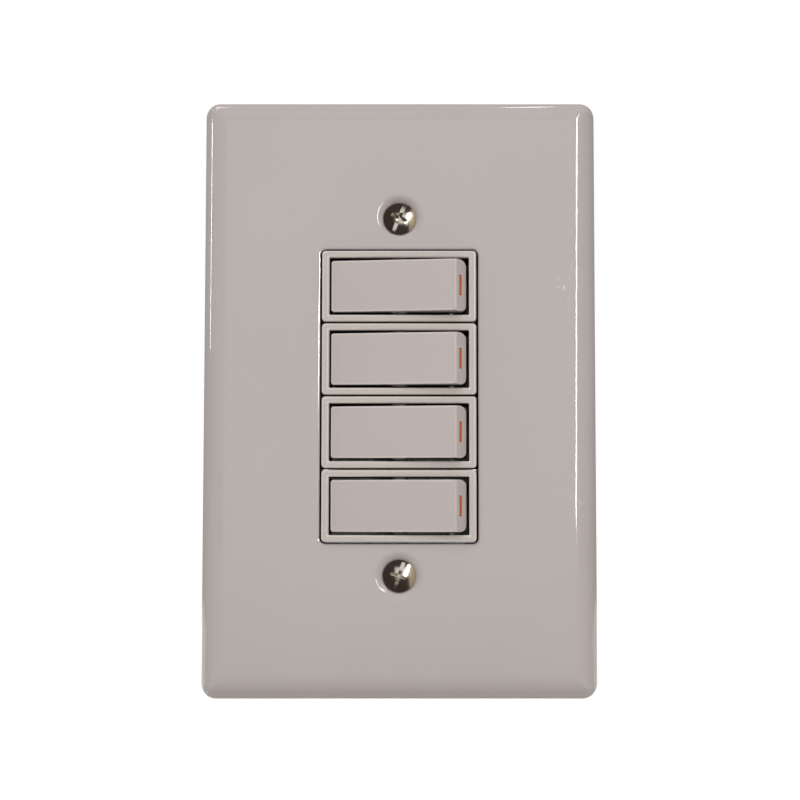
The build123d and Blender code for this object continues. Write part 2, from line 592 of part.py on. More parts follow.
screw = binding_screw()
screw_pair = [screw, mirror(screw, about=Plane.YZ)]
contact = fixed_contact()
export_step(Compound(children=[place * screw for place in gang_places for screw in screw_pair]),
            "parts/terminal_screws.step")
export_step(Compound(children=[place * contact for place in gang_places]), "parts/fixed_contacts.step")
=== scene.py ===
"""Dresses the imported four-gang light switch for its portrait.

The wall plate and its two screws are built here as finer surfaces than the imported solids, the marks on
the rockers are paint laid in their grooves, and every other piece keeps its solid and gets a finish.
Lengths are in millimetres in the classes of the pieces, and in metres in bumps, lamps and the studio.
"""

from __future__ import annotations

import json
import logging
from dataclasses import dataclass, field
from enum import Enum
from math import atan, cos, pi, radians, sin, tan

import bmesh
import bpy
import numpy as np
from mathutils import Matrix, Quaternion, Vector

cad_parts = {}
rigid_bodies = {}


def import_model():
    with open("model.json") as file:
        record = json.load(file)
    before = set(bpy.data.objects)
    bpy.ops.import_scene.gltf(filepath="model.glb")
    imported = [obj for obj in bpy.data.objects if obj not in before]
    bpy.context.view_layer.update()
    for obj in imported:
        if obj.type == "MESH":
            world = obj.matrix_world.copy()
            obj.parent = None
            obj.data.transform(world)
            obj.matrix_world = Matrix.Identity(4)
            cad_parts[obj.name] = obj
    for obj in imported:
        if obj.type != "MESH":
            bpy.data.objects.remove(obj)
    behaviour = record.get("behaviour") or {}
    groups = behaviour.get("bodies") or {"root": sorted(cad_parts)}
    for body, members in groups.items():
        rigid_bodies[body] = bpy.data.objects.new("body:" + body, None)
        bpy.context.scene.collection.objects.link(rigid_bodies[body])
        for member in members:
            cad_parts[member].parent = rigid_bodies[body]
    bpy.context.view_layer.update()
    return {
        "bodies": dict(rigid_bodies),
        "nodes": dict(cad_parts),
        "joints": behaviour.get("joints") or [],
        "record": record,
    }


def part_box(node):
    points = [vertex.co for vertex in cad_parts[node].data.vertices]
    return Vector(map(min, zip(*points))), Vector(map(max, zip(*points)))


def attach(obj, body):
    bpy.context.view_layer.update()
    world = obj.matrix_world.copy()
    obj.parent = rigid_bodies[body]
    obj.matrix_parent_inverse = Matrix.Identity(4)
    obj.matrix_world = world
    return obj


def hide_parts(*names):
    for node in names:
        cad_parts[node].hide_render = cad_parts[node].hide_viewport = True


LOG = logging.getLogger("light_switch")
MM = 0.001
GANGS = 4
SCREW_HEIGHT = 35.325
MERGE_DISTANCE = 1e-8
Triple = tuple[float, float, float]
Colour = Triple
Span = tuple[float, float]


def rounded_profile(corners: np.ndarray, radii: list[float], steps: int) -> np.ndarray:
    """A line through corners whose inner corners are rounded off.

    Each arc's centre lies on the bisector of its two runs, a radius from both. The arc's points turn from
    one touching point to the other by even angles, as sines of the shares of the whole turn.

    Args:
        corners: Points of the line, one a row.
        radii: One radius for each inner corner.
        steps: Runs in each arc.

    Returns:
        The rounded line's points, one a row.
    """
    shares = np.linspace(0.0, 1.0, steps + 1)[:, None]
    pieces = [corners[:1]]
    for before, corner, after, radius in zip(corners[:-2], corners[1:-1], corners[2:], radii):
        back = (before - corner) / np.linalg.norm(before - corner)
        ahead = (after - corner) / np.linalg.norm(after - corner)
        half = 0.5 * np.arccos(back @ ahead)
        centre = corner + (back + ahead) / np.linalg.norm(back + ahead) * radius / np.sin(half)
        start = corner + back * radius / np.tan(half) - centre
        end = corner + ahead * radius / np.tan(half) - centre
        turn = pi - 2.0 * half
        arc = (np.sin((1.0 - shares) * turn) * start + np.sin(shares * turn) * end) / np.sin(turn)
        pieces.append(centre + arc)
    pieces.append(corners[-1:])
    return np.concatenate(pieces)


def rounded_loops(
    half_x: np.ndarray, half_z: np.ndarray, corner: np.ndarray, corner_steps: int, side_steps: int
) -> np.ndarray:
    """Rounded rectangles, one for each entry, all with the same number of points.

    Each corner is a quarter circle about a centre that lies a radius in from both sides, and each side
    is divided evenly between the two quarter circles that it joins.

    Args:
        half_x: Half widths.
        half_z: Half heights.
        corner: Corner radii.
        corner_steps: Runs in each quarter circle.
        side_steps: Runs along each side.

    Returns:
        An array of loops by points by (x, z).
    """
    turn = np.arange(4)[:, None] * pi / 2.0 + np.linspace(0.0, pi / 2.0, corner_steps + 1)
    sign = np.array([[1.0, 1.0], [-1.0, 1.0], [-1.0, -1.0], [1.0, -1.0]])
    inner = np.stack([half_x - corner, half_z - corner], axis=-1)
    centre = sign[None, :, None, :] * inner[:, None, None, :]
    arcs = centre + corner[:, None, None, None] * np.stack([np.cos(turn), np.sin(turn)], axis=-1)
    shares = np.linspace(0.0, 1.0, side_steps + 1)[1:-1, None]
    start = arcs[:, :, -1:, :]
    end = np.roll(arcs, -1, axis=1)[:, :, :1, :]
    sides = start + (end - start) * shares
    return np.concatenate([arcs, sides], axis=2).reshape(len(half_x), -1, 2)


def lifted(loops: np.ndarray, depth: np.ndarray) -> np.ndarray:
    """Loops by points by (x, z) made loops by points by (x, y, z), with one depth y for each loop."""
    y = np.broadcast_to(depth[:, None], loops.shape[:2])
    return np.stack([loops[..., 0], y, loops[..., 1]], axis=-1)


def circles(radius: np.ndarray, depth: np.ndarray, columns: int) -> np.ndarray:
    """Circles about the depth axis, one for each radius.

    Args:
        radius: The circles' radii.
        depth: Their depths.
        columns: Points in each circle.

    Returns:
        Loops by points by (x, y, z).
    """
    turn = np.linspace(0.0, 2.0 * pi, columns, endpoint=False)
    loops = radius[:, None, None] * np.stack([np.cos(turn), np.sin(turn)], axis=-1)
    return lifted(loops, depth)


class Shell:
    """Collects bands of closed loops and fills the flat areas between their open ends."""

    def __init__(self) -> None:
        """Starts with no bands."""
        self.points: list[np.ndarray] = []
        self.quads: list[np.ndarray] = []
        self.count = 0

    def band(self, loops: np.ndarray) -> tuple[np.ndarray, np.ndarray]:
        """Joins each loop to the next by a ring of quads.

        Args:
            loops: Loops by points by (x, y, z), in millimetres.

        Returns:
            The vertex numbers of the first and of the last loop.
        """
        rows, columns = loops.shape[:2]
        index = self.count + np.arange(rows * columns).reshape(rows, columns)
        beside = np.roll(index, -1, axis=1)
        quads = np.stack([index[:-1], beside[:-1], beside[1:], index[1:]], axis=-1)
        self.points.append(loops.reshape(-1, 3) * MM)
        self.quads.append(quads.reshape(-1, 4))
        self.count += rows * columns
        return index[0], index[-1]

    def mesh(self, name: str, flats: list[list[np.ndarray]], sharp: float = 35.0) -> bpy.types.Mesh:
        """Makes one closed mesh, smooth except where its faces meet at more than an angle.

        Args:
            name: The mesh's name.
            flats: Groups of loops, each of which bounds a flat area with its holes.
            sharp: The angle in degrees.

        Returns:
            The mesh, in metres.
        """
        mesh = bpy.data.meshes.new(name)
        mesh.from_pydata(np.concatenate(self.points), [], np.concatenate(self.quads).tolist())
        shape = bmesh.new()
        shape.from_mesh(mesh)
        shape.verts.ensure_lookup_table()
        for loops in flats:
            pairs = np.concatenate([np.stack([loop, np.roll(loop, -1)], axis=-1) for loop in loops])
            rim = [shape.edges.get((shape.verts[a], shape.verts[b])) for a, b in pairs.tolist()]
            bmesh.ops.triangle_fill(shape, use_beauty=True, use_dissolve=False, edges=rim)
        bmesh.ops.remove_doubles(shape, verts=shape.verts, dist=MERGE_DISTANCE)
        bmesh.ops.recalc_face_normals(shape, faces=shape.faces)
        shape.to_mesh(mesh)
        shape.free()
        smooth_over(mesh, sharp)
        return mesh


def smooth_over(mesh: bpy.types.Mesh, sharp: float) -> None:
    """Shades a mesh smooth, with sharp edges where its faces meet at more than an angle.

    Args:
        mesh: The mesh to shade.
        sharp: The angle in degrees.
    """
    mesh.polygons.foreach_set("use_smooth", np.ones(len(mesh.polygons), dtype=bool))
    mesh.set_sharp_from_angle(angle=radians(sharp))
    mesh.update()


def piece(mesh: bpy.types.Mesh, finish: bpy.types.Material, body: str) -> bpy.types.Object:
    """Puts a mesh into the scene as a finished piece that rides on a body.

    Args:
        mesh: The piece's mesh, with its place in it.
        finish: The piece's material.
        body: The body that carries it.

    Returns:
        The new object.
    """
    obj = bpy.data.objects.new(mesh.name, mesh)
    bpy.context.scene.collection.objects.link(obj)
    mesh.materials.clear()
    mesh.materials.append(finish)
    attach(obj, body)
    LOG.info("%s: %d faces", obj.name, len(mesh.polygons))
    return obj


class NodeBoard:
    """A node tree, with short ways to add nodes and join them.

    The mix node has sockets of one name for each kind of value, so its colours go by number.
    """

    mix_colours: tuple[int, int] = (6, 7)
    mix_result: int = 2

    def __init__(self, tree: bpy.types.NodeTree) -> None:
        """Empties the tree.

        Args:
            tree: The node tree of a material or of the world.
        """
        self.nodes = tree.nodes
        self.links = tree.links
        self.nodes.clear()

    def put(self, kind: str, **inputs: object) -> bpy.types.Node:
        """Adds a node and sets or joins its inputs.

        Args:
            kind: The node's type.
            inputs: Values or sockets, by the input's name with spaces as underscores.

        Returns:
            The node.
        """
        node = self.nodes.new(kind)
        for name, value in inputs.items():
            self.feed(node, name.replace("_", " "), value)
        return node

    def feed(self, node: bpy.types.Node, name: str, value: object) -> None:
        """Sets one input of a node, or joins a socket to it.

        Args:
            node: The node.
            name: The input's name.
            value: A value or a socket.
        """
        if isinstance(value, bpy.types.NodeSocket):
            self.links.new(value, node.inputs[name])
        else:
            node.inputs[name].default_value = value

    def remap(
        self, value: bpy.types.NodeSocket, low: float, high: float, to_low: float, to_high: float
    ) -> bpy.types.NodeSocket:
        """Carries one range of values to another and holds it there.

        Args:
            value: The value to carry.
            low: Start of its range.
            high: End of its range.
            to_low: What low becomes.
            to_high: What high becomes.

        Returns:
            The value socket.
        """
        node = self.put("ShaderNodeMapRange", Value=value)
        node.clamp = True
        for name, number in zip(("From Min", "From Max", "To Min", "To Max"), (low, high, to_low, to_high)):
            node.inputs[name].default_value = number
        return node.outputs["Result"]

    def math(self, operation: str, first: object, second: object) -> bpy.types.NodeSocket:
        """Joins two values by an operation.

        Args:
            operation: The operation's name.
            first: A value or a socket.
            second: A value or a socket.

        Returns:
            The value socket.
        """
        node = self.nodes.new("ShaderNodeMath")
        node.operation = operation
        for slot, value in enumerate((first, second)):
            if isinstance(value, bpy.types.NodeSocket):
                self.links.new(value, node.inputs[slot])
            else:
                node.inputs[slot].default_value = value
        return node.outputs["Value"]

    def within(
        self, value: bpy.types.NodeSocket, low: float, high: float, fade: float
    ) -> bpy.types.NodeSocket:
        """One inside a range, and fading to nothing outside it.

        Args:
            value: The value to test.
            low: Start of the range.
            high: End of the range.
            fade: Width of the fade at each end.

        Returns:
            The value socket.
        """
        rise = self.remap(value, low - fade, low, 0.0, 1.0)
        fall = self.remap(value, high, high + fade, 1.0, 0.0)
        return self.math("MULTIPLY", rise, fall)

    def blend(self, share: bpy.types.NodeSocket, first: object, second: object) -> bpy.types.NodeSocket:
        """Mixes two colours.

        Args:
            share: How much of the second shows.
            first: A colour or a socket.
            second: A colour or a socket.

        Returns:
            The colour socket.
        """
        node = self.nodes.new("ShaderNodeMix")
        node.data_type = "RGBA"
        self.links.new(share, node.inputs["Factor"])
        for slot, value in zip(self.mix_colours, (first, second)):
            if isinstance(value, bpy.types.NodeSocket):
                self.links.new(value, node.inputs[slot])
            else:
                node.inputs[slot].default_value = (*value, 1.0)
        return node.outputs[self.mix_result]

    def seen_rays(self) -> bpy.types.NodeSocket:
        """One for rays that the camera, a reflection or a clear body sends out.

        Returns:
            The value socket.
        """
        path = self.nodes.new("ShaderNodeLightPath")
        rays = self.math("MAXIMUM", path.outputs["Is Camera Ray"], path.outputs["Is Glossy Ray"])
        return self.math("MAXIMUM", rays, path.outputs["Is Transmission Ray"])

    def either(
        self, share: bpy.types.NodeSocket, first: bpy.types.NodeSocket, second: bpy.types.NodeSocket
    ) -> bpy.types.NodeSocket:
        """Mixes two shaders.

        Args:
            share: How much of the second shows.
            first: The first shader's socket.
            second: The second shader's socket.

        Returns:
            The shader socket.
        """
        node = self.nodes.new("ShaderNodeMixShader")
        for slot, socket in enumerate((share, first, second)):
            self.links.new(socket, node.inputs[slot])
        return node.outputs["Shader"]


class Noise(Enum):
    """The finishes' noises: lumps in a metre, finer layers and the layers' weight."""

    TONE = (38.0, 3.0, 0.5)
    SPECKS = (2600.0, 2.0, 0.5)
    GLOSS = (420.0, 4.0, 0.5)
    WAVE = (30.0, 1.0, 0.5)
    PEEL = (900.0, 2.0, 0.5)
    HAIRS = (400.0, 1.0, 0.5)
    BREAKS = (1100.0, 2.0, 0.5)
    PITS = (1700.0, 3.0, 0.5)
    STAIN = (240.0, 6.0, 0.65)
    GRAIN = (1.0, 3.0, 0.6)
    PAINT = (1500.0, 4.0, 0.6)
    DAUBS = (1900.0, 3.0, 0.5)


class FinishBoard(NodeBoard):
    """A material's nodes: one shader, and patterns that read the object's own coordinates.

    Most of a noise's values lie in its spread. An edge is sharp where the rounded and the true normal's
    product falls through the edge turn, and a rubbed place is full out to the core's share of its reach.
    """

    spread: Span = (0.3, 0.7)
    edge_turn: Span = (0.90, 0.993)
    edge_samples: int = 4
    core_share: float = 0.25

    def __init__(self, name: str) -> None:
        """Starts a material with one shader.

        Args:
            name: The material's name.
        """
        self.material = bpy.data.materials.new(name)
        self.material.use_nodes = True
        super().__init__(self.material.node_tree)
        self.shader = self.nodes.new("ShaderNodeBsdfPrincipled")
        self.output = self.nodes.new("ShaderNodeOutputMaterial")
        self.links.new(self.shader.outputs["BSDF"], self.output.inputs["Surface"])
        self.place = self.nodes.new("ShaderNodeTexCoord").outputs["Object"]

    def stretched(self, scale: Triple) -> bpy.types.NodeSocket:
        """Object coordinates scaled by factors along x, y and z."""
        return self.put("ShaderNodeMapping", Vector=self.place, Scale=scale).outputs["Vector"]

    def noise(self, kind: Noise, place: bpy.types.NodeSocket | None = None) -> bpy.types.NodeSocket:
        """Cloudy noise from 0 to 1.

        Args:
            kind: Which of the noises.
            place: Coordinates other than the object's own.

        Returns:
            The value socket.
        """
        scale, detail, roughness = kind.value
        node = self.put(
            "ShaderNodeTexNoise",
            Vector=self.place if place is None else place,
            Scale=scale,
            Detail=detail,
            Roughness=roughness,
        )
        return node.outputs["Fac"]

    def near(self, centre: Triple, reach: float) -> bpy.types.NodeSocket:
        """One at a point of the object and fading to nothing at a distance from it.

        Args:
            centre: The point, in millimetres.
            reach: The distance, in millimetres.

        Returns:
            The value socket.
        """
        node = self.nodes.new("ShaderNodeVectorMath")
        node.operation = "DISTANCE"
        self.links.new(self.place, node.inputs[0])
        node.inputs[1].default_value = tuple(number * MM for number in centre)
        return self.remap(node.outputs["Value"], self.core_share * reach * MM, reach * MM, 1.0, 0.0)

    def edges(self, radius: float) -> bpy.types.NodeSocket:
        """One along the piece's sharp edges, from how far a rounded normal strays from the true one.

        Args:
            radius: How wide the edges are, in millimetres.

        Returns:
            The value socket.
        """
        bevel = self.nodes.new("ShaderNodeBevel")
        bevel.samples = self.edge_samples
        bevel.inputs["Radius"].default_value = radius * MM
        node = self.nodes.new("ShaderNodeVectorMath")
        node.operation = "DOT_PRODUCT"
        self.links.new(bevel.outputs["Normal"], node.inputs[0])
        self.links.new(self.nodes.new("ShaderNodeNewGeometry").outputs["Normal"], node.inputs[1])
        return self.remap(node.outputs["Value"], *self.edge_turn, 1.0, 0.0)

    def bump(
        self, height: bpy.types.NodeSocket, depth: float, over: bpy.types.NodeSocket | None = None
    ) -> bpy.types.NodeSocket:
        """Dents the surface's shading.

        Args:
            height: The pattern, from 0 to 1.
            depth: How high 1 stands, in metres.
            over: Bumps below these.

        Returns:
            The normal socket.
        """
        node = self.put("ShaderNodeBump", Height=height, Strength=1.0, Distance=depth)
        if over is not None:
            self.links.new(over, node.inputs["Normal"])
        return node.outputs["Normal"]

    def shade(self, **inputs: object) -> bpy.types.Material:
        """Sets the shader's inputs.

        Args:
            inputs: Values or sockets, by the input's name with spaces as underscores.

        Returns:
            The finished material.
        """
        for name, value in inputs.items():
            self.feed(self.shader, name.replace("_", " "), value)
        return self.material


def tinted(colour: Colour, factor: float) -> Colour:
    """The colour made lighter or darker by a factor."""
    return tuple(min(1.0, channel * factor) for channel in colour)


@dataclass(frozen=True)
class Scuffs:
    """Places that were rubbed, each with its reach, and the broken hairlines there."""

    places: tuple[tuple[Triple, float], ...] = ()
    middle: float = 0.5
    line: Span = (0.004, 0.024)
    breaks: Span = (0.50, 0.58)
    share: float = 0.45
    tone: float = 1.6
    dullness: float = 0.25
    depth: float = 0.0000025

    def hairs(self, board: FinishBoard, centre: Triple, reach: float) -> bpy.types.NodeSocket:
        """One on the hairlines of a place: where slow noise crosses its middle, broken by quicker noise.

        Args:
            board: The material's board.
            centre: The place, in millimetres.
            reach: How far from it the hairlines go, in millimetres.

        Returns:
            The value socket.
        """
        level = board.math("SUBTRACT", board.noise(Noise.HAIRS), self.middle)
        lines = board.remap(board.math("ABSOLUTE", level, 0.0), *self.line, 1.0, 0.0)
        broken = board.remap(board.noise(Noise.BREAKS), *self.breaks, 0.0, 1.0)
        return board.math("MULTIPLY", lines, board.math("MULTIPLY", broken, board.near(centre, reach)))


@dataclass(frozen=True)
class Moulding:
    """A moulded plastic: tone that drifts over the piece, a fine peel and uneven gloss."""

    colour: Colour
    roughness: float
    drift: float = 0.012
    uneven: float = 0.15
    peel: float = 0.0000005
    wave: float = 0.00001
    specks: Span = (0.64, 0.80)
    speck_share: float = 0.08
    speck_tone: float = 0.75
    edge_light: float = 0.0
    edge_width: float = 0.35
    edge_tone: float = 1.95
    scuffs: Scuffs = Scuffs()
    pits: Span = (0.66, 0.8)
    pit_share: float = 0.04
    dust_tone: float = 0.06
    dust_dullness: float = 0.6

    def material(self, name: str) -> bpy.types.Material:
        """Builds the finish.

        The tone drifts by slow noise, the gloss by quicker noise. Slow waves and a fine peel dent the
        surface, and sharp edges get a painted highlight, a paler tone. Scuffs are pale, dull hairlines, and
        dust and painted shade are dark and dull.

        Args:
            name: The material's name.

        Returns:
            The material.
        """
        board = FinishBoard(name)
        slow = board.remap(board.noise(Noise.TONE), *board.spread, 0.0, 1.0)
        darker, paler = (tinted(self.colour, 1.0 + side * self.drift) for side in (-1.0, 1.0))
        tone = board.blend(slow, darker, paler)
        specks = board.remap(board.noise(Noise.SPECKS), *self.specks, 0.0, self.speck_share)
        tone = board.blend(specks, tone, tinted(self.colour, self.speck_tone))
        bright, dull = (self.roughness * (1.0 + side * self.uneven) for side in (-1.0, 1.0))
        gloss = board.remap(board.noise(Noise.GLOSS), *board.spread, bright, dull)
        normal = board.bump(board.noise(Noise.WAVE), self.wave)
        normal = board.bump(board.noise(Noise.PEEL), self.peel, normal)
        # Painted highlight: sharp edges are painted paler, as if they caught the light.
        if self.edge_light:
            painted_highlight = board.math("MULTIPLY", board.edges(self.edge_width), self.caught(board))
            tone = board.blend(painted_highlight, tone, tinted(self.colour, self.edge_tone))
        for centre, reach in self.scuffs.places:
            hairs = self.scuffs.hairs(board, centre, reach)
            rubbed = board.math("MULTIPLY", hairs, self.scuffs.share)
            tone = board.blend(rubbed, tone, tinted(self.colour, self.scuffs.tone))
            gloss = board.math("ADD", gloss, board.math("MULTIPLY", hairs, self.scuffs.dullness))
            normal = board.bump(hairs, self.scuffs.depth, normal)
        # Random dust in fine pits, and in windowed and stacked mouldings painted shade in the gaps, darkens
        # and dulls the surface.
        dust = self.dimmed(board)
        tone = board.blend(dust, tone, tinted(self.colour, self.dust_tone))
        gloss = board.math("ADD", gloss, board.math("MULTIPLY", dust, self.dust_dullness))
        return board.shade(Base_Color=tone, Roughness=gloss, Normal=normal)

    def caught(self, board: FinishBoard) -> bpy.types.NodeSocket | float:
        """How much paler an edge is painted as a highlight: the same all over the piece."""
        return self.edge_light

    def dimmed(self, board: FinishBoard) -> bpy.types.NodeSocket:
        """How much dust and shade darken a place: a little in the surface's finest pits."""
        return board.remap(board.noise(Noise.PITS), *self.pits, 0.0, self.pit_share)


@dataclass(frozen=True)
class WindowedMoulding(Moulding):
    """A moulding with a window, and painted shade that darkens the window's walls."""

    half_width: float = 15.9
    half_height: float = 29.4
    wall_depth: float = 6.7
    wall_fade: float = 0.18
    side_fade: float = 0.2
    dust: float = 0.97

    def dimmed(self, board: FinishBoard) -> bpy.types.NodeSocket:
        """How much painted shade darkens a place: all of it within the window behind the face, and none
        elsewhere.

        Args:
            board: The material's board.

        Returns:
            The value socket.
        """
        axes = board.put("ShaderNodeSeparateXYZ", Vector=board.place).outputs
        wide, high, fade = self.half_width * MM, self.half_height * MM, self.side_fade * MM
        inside = board.within(axes["X"], -wide, wide, fade)
        level = board.within(axes["Z"], -high, high, fade)
        # Painted shade: the window's walls behind the face are painted almost black.
        start = -(self.wall_depth + self.wall_fade) * MM
        deep = board.remap(axes["Y"], start, -self.wall_depth * MM, 0.0, self.dust)
        return board.math("MULTIPLY", deep, board.math("MULTIPLY", inside, level))


@dataclass(frozen=True)
class StackedMoulding(Moulding):
    """A moulding of one module in the stack, with painted shade on the walls inside the narrow gaps."""

    pitch: float = 14.4
    reach: float = 7.2
    reach_fade: float = 0.1
    wall_depth: float = 7.1
    wall_end: float = 1.5
    wall_fade: float = 0.5
    dust: float = 0.97

    def dimmed(self, board: FinishBoard) -> bpy.types.NodeSocket:
        """How much painted shade darkens a place.

        Painted shade lies on walls between two depths, and beyond a reach above or below a module's
        middle, whose heights are an odd number of half pitches from the plate's middle.

        Args:
            board: The material's board.

        Returns:
            The value socket.
        """
        axes = board.put("ShaderNodeSeparateXYZ", Vector=board.place).outputs
        # Painted shade on the walls deep in the gaps and between the modules.
        deep = board.within(axes["Y"], -self.wall_depth * MM, -self.wall_end * MM, self.wall_fade * MM)
        beside = board.math("FLOORED_MODULO", axes["Z"], self.pitch * MM)
        beside = board.math("SUBTRACT", beside, 0.5 * self.pitch * MM)
        beside = board.math("ABSOLUTE", beside, 0.0)
        beside = board.remap(beside, self.reach * MM, (self.reach + self.reach_fade) * MM, 0.0, 1.0)
        front = board.remap(axes["Y"], -self.wall_end * MM, 0.0, 1.0, 0.0)
        beside = board.math("MULTIPLY", beside, front)
        return board.math("MULTIPLY", board.math("MAXIMUM", deep, beside), self.dust)


@dataclass(frozen=True)
class BevelledMoulding(StackedMoulding):
    """A rocker's moulding, whose painted edge highlight is fainter from its bevelled right end."""

    bevel_start: float = 10.4
    bevel_fade: float = 0.2
    bevel_light: float = 0.25

    def caught(self, board: FinishBoard) -> bpy.types.NodeSocket:
        """How much paler an edge is painted as a highlight: less from where the bevel starts.

        Args:
            board: The material's board.

        Returns:
            The value socket.
        """
        axes = board.put("ShaderNodeSeparateXYZ", Vector=board.place).outputs
        start = self.bevel_start * MM
        end = start + self.bevel_fade * MM
        return board.remap(axes["X"], start, end, self.edge_light, self.bevel_light)


@dataclass(frozen=True)
class Metal:
    """A metal part's finish: stain, a drawn or plated grain and uneven polish."""

    colour: Colour
    roughness: float
    stain: Colour
    stain_share: float
    grain: Triple = (900.0, 900.0, 900.0)
    grain_depth: float = 0.0000015
    ragged: Span = (0.48, 0.68)
    polish: Span = (0.75, 1.35)
    stain_dullness: float = 0.25

    def material(self, name: str) -> bpy.types.Material:
        """Builds the finish.

        Stain follows slow noise with ragged edges, and the grain is noise stretched along its axes, which
        dents the surface and breaks up the polish.

        Args:
            name: The material's name.

        Returns:
            The material.
        """
        board = FinishBoard(name)
        patches = board.remap(board.noise(Noise.STAIN), *self.ragged, 0.0, self.stain_share)
        tone = board.blend(patches, self.colour, self.stain)
        grain = board.noise(Noise.GRAIN, board.stretched(self.grain))
        bright, dull = (self.roughness * factor for factor in self.polish)
        gloss = board.remap(grain, *board.spread, bright, dull)
        gloss = board.math("ADD", gloss, board.math("MULTIPLY", patches, self.stain_dullness))
        normal = board.bump(grain, self.grain_depth)
        return board.shade(Base_Color=tone, Metallic=1.0, Roughness=gloss, Normal=normal)


@dataclass(frozen=True)
class Paint:
    """Thick paint laid in a groove, thinner and paler in patches."""

    colour: Colour
    thin: Colour
    roughness: float
    worn: Span = (0.4, 0.75)
    worn_share: float = 0.55
    uneven: Span = (-0.06, 0.1)
    relief: float = 0.000012

    def material(self, name: str) -> bpy.types.Material:
        """Builds the finish.

        One noise thins the paint in patches, a finer one breaks up its gloss, and a third lifts its daubs.

        Args:
            name: The material's name.

        Returns:
            The material.
        """
        board = FinishBoard(name)
        patches = board.remap(board.noise(Noise.PAINT), *self.worn, 0.0, self.worn_share)
        tone = board.blend(patches, self.colour, self.thin)
        bright, dull = (self.roughness + step for step in self.uneven)
        gloss = board.remap(board.noise(Noise.SPECKS), *board.spread, bright, dull)
        normal = board.bump(board.noise(Noise.DAUBS), self.relief)
        return board.shade(Base_Color=tone, Roughness=gloss, Normal=normal)


class Finish(Enum):
    """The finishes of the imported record's material slots, and of the paint in the rockers' grooves."""

    # The edge highlights set here are painted highlights, and the dark walls of the window and the gaps are
    # painted shade.
    plate_plastic = WindowedMoulding(
        (0.500, 0.456, 0.444),
        0.05,
        wave=0.00008,
        scuffs=Scuffs((((31.5, -7.0, 21.0), 6.0), ((33.6, -7.0, -21.0), 3.5))),
    )
    frame_plastic = StackedMoulding(
        (0.525, 0.478, 0.444), 0.26, uneven=0.04, edge_light=0.95, edge_width=0.6, wall_depth=6.7
    )
    rocker_plastic = BevelledMoulding(
        (0.516, 0.463, 0.451), 0.26, uneven=0.02, edge_light=0.8, edge_width=0.5, reach=5.08, wall_depth=6.3
    )
    base_plastic = Moulding((0.68, 0.66, 0.62), 0.42, wave=0.000004, edge_light=0.15)
    plunger_plastic = Moulding((0.74, 0.72, 0.67), 0.38, wave=0.000003)
    strap_steel = Metal((0.60, 0.61, 0.60), 0.34, (0.40, 0.39, 0.36), 0.5, (140.0, 900.0, 2400.0), 0.000004)
    screw_nickel = Metal((0.66, 0.62, 0.56), 0.13, (0.30, 0.25, 0.19), 0.5, (700.0, 700.0, 700.0))
    spring_steel = Metal((0.52, 0.52, 0.53), 0.24, (0.35, 0.34, 0.33), 0.3)
    terminal_brass = Metal((0.74, 0.55, 0.24), 0.26, (0.42, 0.27, 0.11), 0.5, (2200.0, 300.0, 2200.0))
    contact_silver = Metal((0.80, 0.79, 0.76), 0.22, (0.45, 0.43, 0.40), 0.4)
    mark_paint = Paint((0.52, 0.095, 0.028), (0.57, 0.20, 0.09), 0.38)


